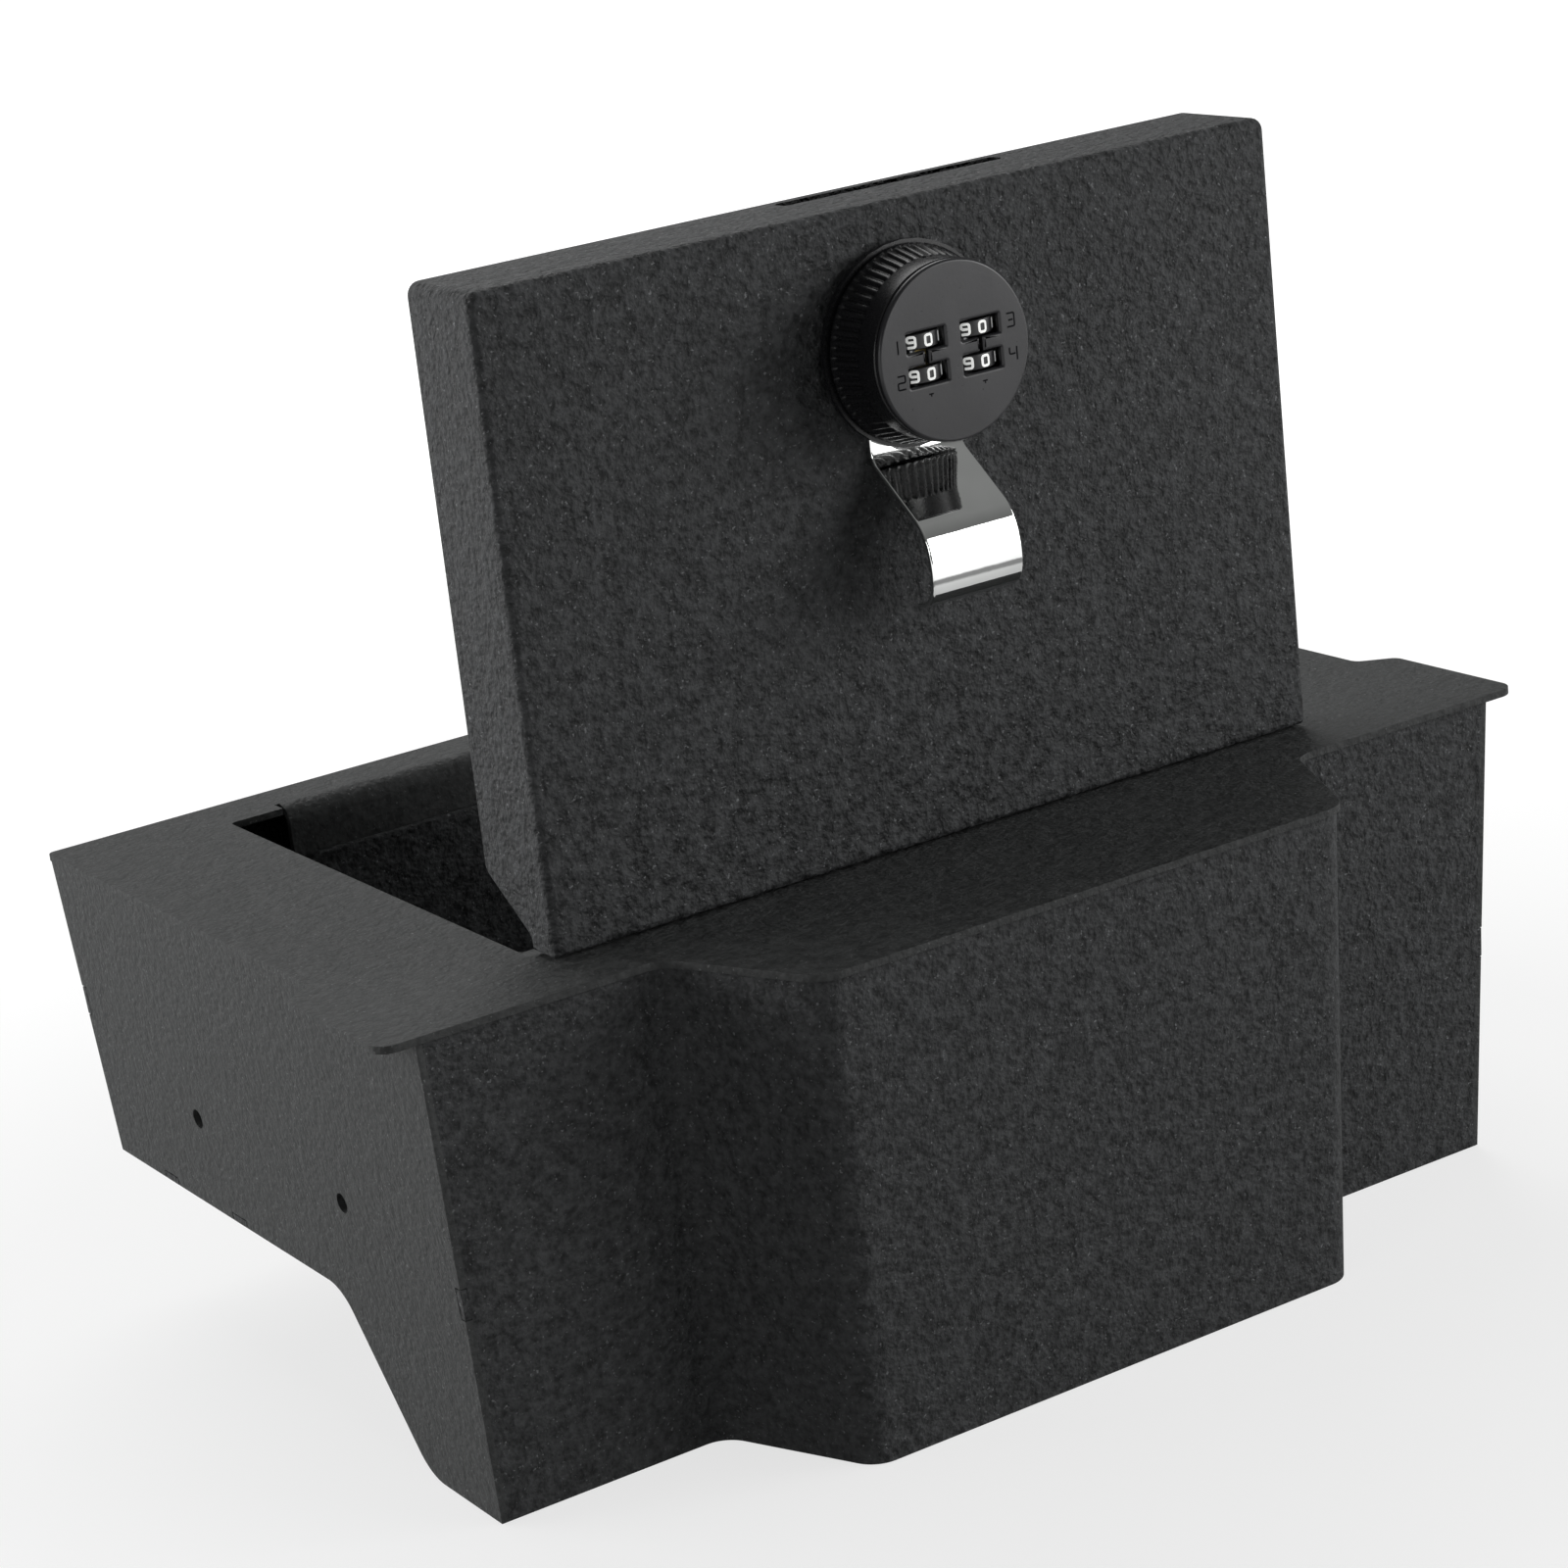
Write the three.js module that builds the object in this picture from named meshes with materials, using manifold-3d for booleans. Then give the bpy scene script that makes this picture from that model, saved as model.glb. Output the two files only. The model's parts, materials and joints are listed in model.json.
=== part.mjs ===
// A steel safe that drops into a vehicle's centre console. Millimetres, +Z up, X along the console.
// The lid stands open on its hinge; a rotary combination lock in the lid turns the cam that holds it shut.
import * as THREE from "three";
import { mergeVertices } from "three/addons/utils/BufferGeometryUtils.js";
import Module from "manifold-3d";

const wasm = await Module();
wasm.setup();

// Driving dimensions
const sheet = 2; // thickness of the body and lid steel
const gap = 0.3; // clearance between pieces that are welded or clamped together
const height = 131; // deck top above the deep floor's underside
const halfLength = 166; // centre to the outside of an end wall, just under the deck
const width = 210; // near wall to far wall, just under the deck
const shallowDepth = 88.6; // deck top down to the shallow floor's underside
const endTaper = 0.057; // how far each end wall draws in per millimetre of depth
const sideTaper = 0.043; // the same for the near and far walls
const deckOverhang = 1; // the deck plate stands proud of the walls by this
const bulge = { reach: 41, face: 79, foot: 98, bend: 9 }; // the near wall's bump, as half widths in X
const tab = { reach: 10, length: 46.5, run: 6.5, corner: 5, bend: 4 }; // ears on the deck's near corners
const opening = { x: 119.3, near: 30.9, far: 191.8, corner: 1.5 };
const lip = { x: 101.6, drop: 18, bend: 3 }; // flange bent down at the opening's far edge
const lid = { x: 117.7, height: 162.3, depth: 29.7, bend: 2.5, face: 16.7, rise: 0.8 };
const pin = { y: 30.2, rise: 2.9, radius: 1.1 }; // hinge axis: place in Y and height above the deck
const hinge = { x: 96, knuckle: 2.6, knuckles: 9, leaf: 1.2 };
const lockHeight = 127.5; // knob axis above the lid's hinge edge
const knob = { radius: 22.2, skirt: 24.4, back: 3.9, ribEnd: 13.5, front: 20.1, face: 22, ribs: 60 };
const wheel = { radius: 7.5, width: 4.9, x: 8, row: 4.15, axis: 14.4, hub: 4.6, bore: 1.6 };
const cam = { radius: 47, near: 22.3, far: 25.3 };
const base = { radius: 25.5, near: 2.1, far: 3.6, barrel: 9.5 }; // the lock's ring behind the knob
const pull = { width: 27, sheet: 1.5, back: 0.3 };
const bolt = { out: 14.6, radius: 1.9 }; // the bolt in the knob that the wheels' gates free
const cornerTab = { near: height * 0.46, far: height * 0.67, half: 4 }; // tabs through the end walls
const floorTabs = { places: [131, 173], half: 4 };
const screwHoles = { radius: 2.75, places: [[144.7, 69.2], [61.3, 69.7]] }; // in each end wall, (y, z)
const guard = { y: 187.4, below: 13.8, half: 95.6, foot: 107 }; // plate under the lid's free edge
const lidSlot = { x: [-16, 50.5], back: [21.2, 26.4] }; // where the cam leaves the lid, from its face
const lipSlot = { x: [-19, 35], below: [4, 11] }; // where the cam enters, below the deck's top

const deckTop = height;
const deckUnder = height - sheet;
const shallowFloor = height - shallowDepth; // underside of the shallow floor
const pinHeight = deckTop + pin.rise;
const centreY = (width - bulge.reach) / 2; // middle of the deck, which is the origin in Y
const lidFoot = deckTop + lid.rise; // the hinge edge of the lid when it is open
const lockZ = lidFoot + lockHeight;

// Colours and finishes
const coat = { color: 0x3a3c3d, roughness: 0.85, metalness: 0.1 };
const darkCoat = { color: 0x303234, roughness: 0.85, metalness: 0.1 };
const satinBlack = { color: 0x131415, roughness: 0.45, metalness: 0.2 };
const chrome = { color: 0xdfe2e5, roughness: 0.06, metalness: 1 };
const zinc = { color: 0xa9acb0, roughness: 0.35, metalness: 0.9 };
const brass = { color: 0xb59a5b, roughness: 0.35, metalness: 0.9 };

// --- Solids -------------------------------------------------------------------------------------

function solidOf(geometry) {
  const bare = geometry.index ? geometry.toNonIndexed() : geometry.clone();
  bare.deleteAttribute("normal");
  bare.deleteAttribute("uv");
  const merged = mergeVertices(bare, 1e-4);
  return new wasm.Manifold(
    new wasm.Mesh({
      numProp: 3,
      vertProperties: new Float32Array(merged.attributes.position.array),
      triVerts: new Uint32Array(merged.index.array),
    }),
  );
}

function geometryOf(solid) {
  const { vertProperties, triVerts, numProp } = solid.getMesh();
  const places = new Float32Array((vertProperties.length / numProp) * 3);
  for (let i = 0; i < places.length / 3; i += 1) {
    places.set(vertProperties.subarray(i * numProp, i * numProp + 3), i * 3);
  }
  const geometry = new THREE.BufferGeometry();
  geometry.setAttribute("position", new THREE.BufferAttribute(places, 3));
  geometry.setIndex(new THREE.BufferAttribute(new Uint32Array(triVerts), 1));
  geometry.computeVertexNormals();
  return geometry;
}

const join = (...solids) => solids.reduce((all, next) => all.add(next));
const cut = (solid, ...tools) => tools.reduce((left, tool) => left.subtract(tool), solid);

function meshOf(name, solid, look) {
  const mesh = new THREE.Mesh(geometryOf(solid), new THREE.MeshStandardMaterial(look));
  mesh.name = name;
  return mesh;
}

// A box from its low corner to its high corner.
function boxBetween([x0, y0, z0], [x1, y1, z1]) {
  const geometry = new THREE.BoxGeometry(x1 - x0, y1 - y0, z1 - z0);
  geometry.translate((x0 + x1) / 2, (y0 + y1) / 2, (z0 + z1) / 2);
  return solidOf(geometry);
}

// A closed outline through corners [a, b, radius]; a corner with a radius is rounded.
function outline(corners) {
  const shape = new THREE.Shape();
  corners.forEach(([a, b, radius = 0], i) => {
    const corner = new THREE.Vector2(a, b);
    const before = corners[(i + corners.length - 1) % corners.length];
    const after = corners[(i + 1) % corners.length];
    const toBefore = new THREE.Vector2(before[0] - a, before[1] - b).normalize();
    const toAfter = new THREE.Vector2(after[0] - a, after[1] - b).normalize();
    const half = Math.acos(THREE.MathUtils.clamp(toBefore.dot(toAfter), -1, 1)) / 2;
    const begin = corner.clone().addScaledVector(toBefore, radius / Math.tan(half));
    if (i === 0) shape.moveTo(begin.x, begin.y);
    else shape.lineTo(begin.x, begin.y);
    if (radius === 0) return;
    const middle = toBefore.clone().add(toAfter).normalize();
    const centre = corner.clone().addScaledVector(middle, radius / Math.sin(half));
    const end = corner.clone().addScaledVector(toAfter, radius / Math.tan(half));
    const from = begin.sub(centre).angle();
    const to = end.sub(centre).angle();
    const clockwise = toBefore.cross(toAfter) > 0;
    shape.absarc(centre.x, centre.y, radius, from, to, clockwise);
  });
  shape.closePath();
  return shape;
}

const circle = (a, b, radius) => new THREE.Shape().absarc(a, b, radius, 0, 2 * Math.PI);

function extrude(shape, depth, curveSegments = 5) {
  return new THREE.ExtrudeGeometry(shape, { depth, curveSegments, bevelEnabled: false });
}

// Outlines drawn in (x, y), (y, z) and (x, z), pushed through from low to high along the third axis.
function slabZ(shape, low, high, segments) {
  return extrude(shape, high - low, segments).translate(0, 0, low);
}

function slabX(shape, low, high, segments) {
  const turn = new THREE.Matrix4().makeBasis(
    new THREE.Vector3(0, 1, 0),
    new THREE.Vector3(0, 0, 1),
    new THREE.Vector3(1, 0, 0),
  );
  return extrude(shape, high - low, segments).applyMatrix4(turn).translate(low, 0, 0);
}

function slabY(shape, low, high, segments) {
  return extrude(shape, high - low, segments).rotateX(Math.PI / 2).translate(0, high, 0);
}

// A rod or disc along Z, Y or X, from low to high on that axis.
function rodZ(x, y, radius, low, high, segments = 8) {
  return solidOf(slabZ(circle(x, y, radius), low, high, segments));
}

function rodX(y, z, radius, low, high, segments = 6) {
  return solidOf(slabX(circle(y, z, radius), low, high, segments));
}

// --- The tapered body ---------------------------------------------------------------------------

// Draws the walls in towards the bottom: side is +1 on the near wall, -1 on the far wall, 0 for neither.
function drawIn(geometry, side = 0) {
  const place = geometry.attributes.position;
  for (let i = 0; i < place.count; i += 1) {
    const depth = deckUnder - place.getZ(i);
    place.setX(i, place.getX(i) * (1 - (endTaper / halfLength) * depth));
    place.setY(i, place.getY(i) + side * sideTaper * depth);
  }
  return geometry;
}

// The near wall's line in plan, moved outwards by offset, from the left end to the right end.
function nearLine(offset, endX) {
  const lean = Math.atan2(bulge.reach, bulge.foot - bulge.face);
  const shift = offset * Math.tan(lean / 2);
  const foot = bulge.foot + shift;
  const face = bulge.face + shift;
  const inner = bulge.bend - offset;
  const outer = bulge.bend + offset;
  return [
    [-endX, -offset],
    [-foot, -offset, inner],
    [-face, -bulge.reach - offset, outer],
    [face, -bulge.reach - offset, outer],
    [foot, -offset, inner],
    [endX, -offset],
  ];
}

function bodyTabBox(x, y, z, size) {
  return boxBetween([x - size[0], y - size[1], z - size[2]], [x + size[0], y + size[1], z + size[2]]);
}

// The tabs by which the near wall, far wall and floor lock into the end walls; grow adds clearance.
function nearTabs(side, grow) {
  const z = cornerTab.near;
  const y = sideTaper * (deckUnder - z) + sheet / 2;
  return bodyTabBox(side * halfLength, y, z, [12, sheet / 2 + grow, cornerTab.half + grow]);
}

function farTabs(side, grow) {
  const z = cornerTab.far;
  const y = width - sideTaper * (deckUnder - z) - sheet / 2;
  return bodyTabBox(side * halfLength, y, z, [14, sheet / 2 + grow, cornerTab.half + grow]);
}

function floorTab(side, y, grow) {
  const z = shallowFloor + sheet / 2;
  return bodyTabBox(side * halfLength, y, z, [14, floorTabs.half + grow, sheet / 2 + grow]);
}

// Everything inside the outer faces of the end walls.
function betweenEnds(inset) {
  const x = halfLength - inset;
  const y0 = -bulge.reach - 20;
  const shape = outline([[-x, y0], [x, y0], [x, width + 20], [-x, width + 20]]);
  return solidOf(drawIn(slabZ(shape, -5, deckUnder - gap)));
}

function endWall(side) {
  const nearFoot = sideTaper * deckUnder;
  const farFoot = sideTaper * (deckUnder - shallowFloor);
  const profile = outline([
    [0, deckUnder - gap],
    [nearFoot, 0],
    [41.3, 0, 14],
    [73, shallowFloor, 14],
    [width - farFoot, shallowFloor],
    [width, deckUnder - gap],
  ]);
  for (const [y, z] of screwHoles.places) {
    profile.holes.push(new THREE.Path().absarc(y, z, screwHoles.radius, 0, 2 * Math.PI));
  }
  const low = side < 0 ? -halfLength : halfLength - sheet;
  const plate = solidOf(drawIn(slabX(profile, low, low + sheet, 6)));
  const floorCuts = floorTabs.places.map((y) => floorTab(side, y, gap));
  return cut(plate, nearTabs(side, gap), farTabs(side, gap), ...floorCuts);
}

function nearWall() {
  const endX = halfLength - sheet - gap;
  const outside = nearLine(0, endX);
  const inside = nearLine(-sheet, endX).reverse();
  const wall = solidOf(drawIn(slabZ(outline([...outside, ...inside]), 0, deckUnder - gap, 6), 1));
  const tabs = [-1, 1].map((side) => {
    const reach = boxBetween([side * 160 - 12, -10, 0], [side * 160 + 12, 20, height]);
    return nearTabs(side, 0).intersect(betweenEnds(0)).intersect(reach);
  });
  return join(wall, ...tabs);
}

function farWall() {
  const endX = halfLength - sheet - gap;
  const shape = outline([[-endX, width - sheet], [endX, width - sheet], [endX, width], [-endX, width]]);
  const wall = solidOf(drawIn(slabZ(shape, shallowFloor, deckUnder - gap), -1));
  const tabs = [-1, 1].map((side) => farTabs(side, 0).intersect(betweenEnds(0)));
  return join(wall, ...tabs);
}

// Shallow floor, slope and deep floor: one sheet bent to the end walls' lower edge.
function floorPan() {
  const far = width + 5;
  const near = -bulge.reach - 10;
  const profile = outline([
    [near, 0],
    [41.3, 0, 14],
    [73, shallowFloor, 14],
    [far, shallowFloor],
    [far, shallowFloor + sheet],
    [73 - 0.8, shallowFloor + sheet, 16],
    [41.3 - 0.8, sheet, 12],
    [near, sheet],
  ]);
  const run = solidOf(slabX(profile, -halfLength, halfLength, 6));
  const room = outline([
    ...nearLine(-sheet - gap, halfLength - sheet - gap),
    [halfLength - sheet - gap, width + 10],
    [-halfLength + sheet + gap, width + 10],
  ]);
  const inside = solidOf(drawIn(slabZ(room, -1, deckUnder, 6), 1));
  const farLimit = width - sheet - gap - sideTaper * (deckUnder - shallowFloor);
  const beforeFarWall = boxBetween([-200, -100, -5], [200, farLimit, height]);
  const tabs = [-1, 1].flatMap((side) =>
    floorTabs.places.map((y) => floorTab(side, y, 0).intersect(betweenEnds(0))),
  );
  return join(run.intersect(inside).intersect(beforeFarWall), ...tabs);
}

function deckOutline() {
  const over = deckOverhang;
  const endX = halfLength + over / 2;
  const earX = halfLength + tab.reach;
  const near = nearLine(over, earX);
  near[0] = [-earX, -over, tab.corner];
  near[near.length - 1] = [earX, -over, tab.corner];
  return outline([
    ...near,
    [earX, tab.length, tab.bend],
    [endX, tab.length + tab.run, tab.bend],
    [endX, width + over, 2],
    [-endX, width + over, 2],
    [-endX, tab.length + tab.run, tab.bend],
    [-earX, tab.length, tab.bend],
  ]);
}

// The flange at the opening's far edge, bent down with a slot for the cam.
function deckLip() {
  const face = opening.far;
  const outer = lip.bend + sheet;
  const profile = outline([
    [face + outer + 2, deckTop],
    [face, deckTop, outer],
    [face, deckTop - lip.drop],
    [face + sheet, deckTop - lip.drop],
    [face + sheet, deckUnder, lip.bend],
    [face + outer + 2, deckUnder],
  ]);
  return solidOf(slabX(profile, -lip.x, lip.x, 6));
}

function deckPlate() {
  const { x, near, far, corner } = opening;
  const plate = solidOf(slabZ(deckOutline(), deckUnder, deckTop, 6));
  const window = outline([[-x, near, corner], [x, near, corner], [x, far, corner], [-x, far, corner]]);
  const relief = far + lip.bend + sheet;
  const bendRoom = boxBetween([-lip.x, far - 5, deckUnder - 1], [lip.x, relief, deckTop + 1]);
  const [slotTop, slotFoot] = lipSlot.below.map((below) => deckTop - below);
  const camSlot = boxBetween([lipSlot.x[0], far - 5, slotFoot], [lipSlot.x[1], far + 4, slotTop]);
  const opened = cut(plate, solidOf(slabZ(window, deckUnder - 1, deckTop + 1, 4)), bendRoom);
  const reliefs = [-1, 1].map((side) => {
    const middle = side * (lip.x + 0.75);
    return boxBetween([middle - 0.75, far - 1, deckUnder - 1], [middle + 0.75, relief, deckTop + 1]);
  });
  return cut(join(opened, deckLip()), camSlot, ...reliefs);
}

// A plate that stands on the shallow floor just under the closed lid's free edge.
function guardPlate() {
  const foot = shallowFloor + sheet + gap;
  const top = deckTop - guard.below;
  const profile = outline([
    [-guard.foot, foot],
    [guard.foot, foot],
    [guard.foot, top - 9, 2],
    [guard.half, top, 2],
    [-guard.half, top, 2],
    [-guard.foot, top - 9, 2],
  ]);
  return solidOf(slabY(profile, guard.y, guard.y + sheet, 3));
}

// --- Hinge --------------------------------------------------------------------------------------

// Knuckles along X: the body leaf has the even ones, the lid leaf the odd ones.
function knuckles(parity) {
  const pitch = (2 * hinge.x) / hinge.knuckles;
  const made = [];
  for (let i = parity; i < hinge.knuckles; i += 2) {
    const low = -hinge.x + i * pitch + gap / 2;
    made.push(rodX(pin.y, pinHeight, hinge.knuckle, low, low + pitch - gap, 8));
  }
  return made;
}

// Room for the other leaf's knuckles, and the bore for the pin.
function knuckleRoom(parity) {
  const pitch = (2 * hinge.x) / hinge.knuckles;
  const made = [rodX(pin.y, pinHeight, pin.radius + 0.08, -hinge.x - 1, hinge.x + 1, 8)];
  for (let i = parity; i < hinge.knuckles; i += 2) {
    const low = -hinge.x + i * pitch - gap / 2;
    const reach = hinge.knuckle + 0.4;
    made.push(rodX(pin.y, pinHeight, reach, low, low + pitch + gap, 8));
  }
  return made;
}

function hingeBodyLeaf() {
  const low = [-hinge.x, pin.y + hinge.knuckle - hinge.leaf, deckTop - 14];
  const high = [hinge.x, pin.y + hinge.knuckle, pinHeight];
  return cut(join(boxBetween(low, high), ...knuckles(0)), ...knuckleRoom(1));
}

function hingeLidLeaf() {
  const low = lidFoot + sheet + gap;
  const leaf = boxBetween([-hinge.x, lid.face + 4.5, low], [hinge.x, pin.y, low + hinge.leaf]);
  return cut(join(leaf, ...knuckles(1)), ...knuckleRoom(0));
}

const hingePin = () => rodX(pin.y, pinHeight, pin.radius, -hinge.x, hinge.x, 8);

// --- Lid ----------------------------------------------------------------------------------------

// A pan of bent sheet, drawn open: the face is towards -Y and the flanges go back towards +Y.
function lidPan() {
  const { x, face, depth, bend } = lid;
  const top = lidFoot + lid.height;
  const rim = face + depth;
  const front = outline([
    [-x, lidFoot, bend],
    [x, lidFoot, bend],
    [x, top, bend],
    [-x, top, bend],
  ]);
  const side = outline([
    [face, lidFoot, bend],
    [face + 5.5, lidFoot],
    [rim, lidFoot + 17, 8],
    [rim, top],
    [face, top, bend],
  ]);
  const plan = outline([[-x, face, bend], [x, face, bend], [x, rim], [-x, rim]]);
  const block = solidOf(slabY(front, face, rim, 4))
    .intersect(solidOf(slabX(side, -x, x, 5)))
    .intersect(solidOf(slabZ(plan, lidFoot, top, 4)));
  const hollow = boxBetween(
    [-x + sheet, face + sheet, lidFoot + sheet],
    [x - sheet, rim + 1, top - sheet],
  );
  // The hinge flange is left out of the side outline's slope, so it is added as a strip.
  const hingeFlange = boxBetween(
    [-x + sheet / 2, face + sheet / 2, lidFoot],
    [x - sheet / 2, pin.y - hinge.knuckle - 0.6, lidFoot + sheet],
  );
  const [slotNear, slotFar] = lidSlot.back.map((back) => face + back);
  const slot = boxBetween([lidSlot.x[0], slotNear, top - sheet - 1], [lidSlot.x[1], slotFar, top + 1]);
  const lockHole = solidOf(slabY(circle(0, lockZ, 9.8), face - 1, face + sheet + 1, 10));
  return cut(join(cut(block, hollow), hingeFlange), slot, lockHole);
}

// --- Lock: drawn with its axis along Z and its own up along Y, then stood in the lid ---------------

const lockGroup = (...meshes) => {
  const group = new THREE.Group();
  group.add(...meshes);
  group.rotation.x = Math.PI / 2;
  group.position.set(0, lid.face, lockZ);
  return group;
};

function backingPlate() {
  const shape = outline([[-34, -26, 4], [34, -26, 4], [34, 26, 4], [-34, 26, 4]]);
  shape.holes.push(new THREE.Path().absarc(0, 0, 10, 0, 2 * Math.PI));
  return solidOf(slabZ(shape, -sheet - gap - 3, -sheet - gap, 10));
}

function lockBase() {
  const flange = rodZ(0, 0, base.radius, base.near, base.far, 16);
  const barrel = rodZ(0, 0, base.barrel, -21.4, base.near + 0.1, 14);
  const boltHoles = [0, 1].map((turn) => {
    const angle = Math.PI / 2 + (turn * Math.PI) / 2;
    return rodZ(bolt.out * Math.cos(angle), bolt.out * Math.sin(angle), bolt.radius + 0.4, 1, 5, 5);
  });
  return cut(join(flange, barrel), rodZ(0, 0, 4.35, -30, 5, 8), ...boltHoles);
}

// Profile points go from the knob's rim down the lid, drawn in (y, z) of the lock's own frame.
function pullHandle() {
  const { back, width: across } = pull;
  const line = new THREE.CurvePath();
  const corner = (y, z) => new THREE.Vector2(y, z);
  const knee = new THREE.QuadraticBezierCurve(corner(-23.8, 1), corner(-27.3, 1), corner(-29.3, 3.8));
  const shoulder = new THREE.CubicBezierCurve(
    corner(-39.8, 17.5),
    corner(-42.8, 21.4),
    corner(-49.3, 23),
    corner(-55.3, 22.4),
  );
  const curl = new THREE.QuadraticBezierCurve(
    corner(-55.3, 22.4),
    corner(-60.8, 21.6),
    corner(-61.3, 15.5),
  );
  line.add(knee);
  line.add(new THREE.LineCurve(knee.getPoint(1), shoulder.getPoint(0)));
  line.add(shoulder);
  line.add(curl);
  const middle = [];
  line.curves.forEach((curve, i) => {
    const steps = curve.isLineCurve ? 1 : 6;
    for (let k = i === 0 ? 0 : 1; k <= steps; k += 1) middle.push(curve.getPoint(k / steps));
  });
  const rib = middle.map((point, i) => {
    const before = middle[Math.max(i - 1, 0)];
    const after = middle[Math.min(i + 1, middle.length - 1)];
    const along = after.clone().sub(before).normalize();
    return [point, new THREE.Vector2(-along.y, along.x).multiplyScalar(pull.sheet / 2)];
  });
  const sides = [1, -1].map((way) => rib.map(([p, n]) => p.clone().addScaledVector(n, way)));
  const strip = new THREE.Shape([...sides[0], ...sides[1].reverse()]);
  const blade = solidOf(slabX(strip, -across / 2, across / 2, 1));
  const foot = outline([
    [-across / 2, -24.3],
    [across / 2, -24.3],
    [across / 2, 10, 10],
    [-across / 2, 10, 10],
  ]);
  const plate = solidOf(slabZ(foot, back, back + pull.sheet, 8));
  return cut(join(blade, plate), rodZ(0, 0, 9.8, -1, 5, 12));
}

function knobBody() {
  const { radius, skirt, back, front, ribEnd, ribs } = knob;
  const profile = [
    [0, back],
    [skirt - 1, back],
    [skirt, back + 0.8],
    [radius, ribEnd],
    [radius, front],
    [0, front],
  ];
  const points = profile.map(([r, z]) => new THREE.Vector2(r, z));
  const drum = solidOf(new THREE.LatheGeometry(points, ribs).rotateX(Math.PI / 2));
  const pocket = boxBetween([-17, -9.9, back + 1.9], [17, 9.9, front + 1]);
  const axleSeats = [-1, 1].map((side) =>
    boxBetween(
      [side * wheel.x - 1.6, -14.2, wheel.axis - 1.6],
      [side * wheel.x + 1.6, 14.2, front + 1],
    ),
  );
  const boltBore = rodZ(0, bolt.out, bolt.radius + 0.2, back - 1, 15, 6);
  const spindleBore = rodZ(0, 0, 4.1, back - 1, back + 3, 8);
  return cut(drum, pocket, ...axleSeats, boltBore, spindleBore, ...ribGrooves());
}

// Grooves that follow the knob's flared skirt.
function ribGrooves() {
  const { radius, skirt, back, ribEnd, ribs } = knob;
  const lean = Math.atan2(skirt - radius, ribEnd - back);
  const made = [];
  for (let i = 0; i < ribs; i += 1) {
    const angle = ((i + 0.5) / ribs) * 2 * Math.PI;
    const groove = new THREE.BoxGeometry(1.3, 1.05, ribEnd - back - 1.4);
    groove.rotateY(-lean);
    groove.translate((radius + skirt) / 2 + 0.05, 0, (ribEnd + back + 0.6) / 2);
    groove.rotateZ(angle);
    made.push(solidOf(groove));
  }
  return made;
}

function knobFace() {
  const { radius, front, face } = knob;
  const low = front + gap;
  const points = [
    [0, low],
    [radius - 0.3, low],
    [radius - 0.3, face - 0.9],
    [radius - 1.2, face],
    [0, face],
  ].map(([r, z]) => new THREE.Vector2(r, z));
  const disc = solidOf(new THREE.LatheGeometry(points, 60).rotateX(Math.PI / 2));
  const windows = [];
  for (const x of [-wheel.x, wheel.x]) {
    for (const y of [-wheel.row, wheel.row]) {
      windows.push(boxBetween([x - 5.6, y - 2.6, low - 1], [x + 5.6, y + 2.6, face + 1]));
    }
    windows.push(boxBetween([x - 0.45, -wheel.row, face - 0.7], [x + 0.45, wheel.row, face + 1]));
  }
  const mark = boxBetween([-1, radius - 3.4, face - 0.8], [1, radius + 1, face + 1]);
  return cut(disc, ...windows, mark);
}

// A number wheel on its axle: its hub carries the gate notch of the combination.
function numberWheel() {
  const half = wheel.width / 2;
  const rim = rodZ(0, 0, wheel.radius, -half + 0.75, half - 0.75, 10);
  const hub = rodZ(0, 0, wheel.hub, -half + 0.45, half - 0.45, 8);
  const notch = boxBetween([-0.9, -wheel.hub - 1, half - 0.75], [0.9, -wheel.hub + 1.4, half]);
  const digitGrooves = [];
  for (let i = 0; i < 10; i += 1) {
    const angle = ((i + 0.5) / 10) * 2 * Math.PI;
    const groove = new THREE.BoxGeometry(0.5, 0.6, wheel.width);
    groove.translate(wheel.radius, 0, 0).rotateZ(angle);
    digitGrooves.push(solidOf(groove));
  }
  return cut(join(rim, hub), rodZ(0, 0, wheel.bore, -half - 1, half + 1, 6), notch, ...digitGrooves);
}

function numberWheelMesh(name, x, y) {
  const mesh = meshOf(name, numberWheel(), satinBlack);
  mesh.rotation.x = Math.PI / 2;
  mesh.position.set(x, y, wheel.axis);
  return mesh;
}

function wheelAxleMesh(name, x) {
  const mesh = meshOf(name, rodZ(0, 0, 1.4, -13.9, 13.9, 6), zinc);
  mesh.rotation.x = Math.PI / 2;
  mesh.position.set(x, 0, wheel.axis);
  return mesh;
}

// A leaf spring under both wheels of a column, with a raised nose below each wheel.
function detentSpring(x) {
  const low = knob.back + 1.9 + 0.1;
  const strip = boxBetween([x - 1.6, -9.5, low], [x + 1.6, 9.5, low + 0.35]);
  const noses = [-wheel.row, wheel.row].map((y) =>
    boxBetween([x - 0.5, y - 1.2, low], [x + 0.5, y + 1.2, low + 0.7]),
  );
  return join(strip, ...noses);
}

const lockBolt = () => rodZ(0, bolt.out, bolt.radius, knob.back + 0.1, knob.back + 5, 6);

function boltSpring() {
  const turns = 4;
  const low = knob.back + 5.6;
  const high = 14.4;
  class Coil extends THREE.Curve {
    getPoint(t, target = new THREE.Vector3()) {
      const angle = t * turns * 2 * Math.PI;
      return target.set(1.4 * Math.cos(angle), bolt.out + 1.4 * Math.sin(angle), low + t * (high - low));
    }
  }
  const wire = outline([[-0.2, -0.2], [0.2, -0.2], [0.2, 0.2], [-0.2, 0.2]]);
  const options = { steps: 10 * turns, extrudePath: new Coil(), bevelEnabled: false };
  return solidOf(new THREE.ExtrudeGeometry(wire, options));
}

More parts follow.
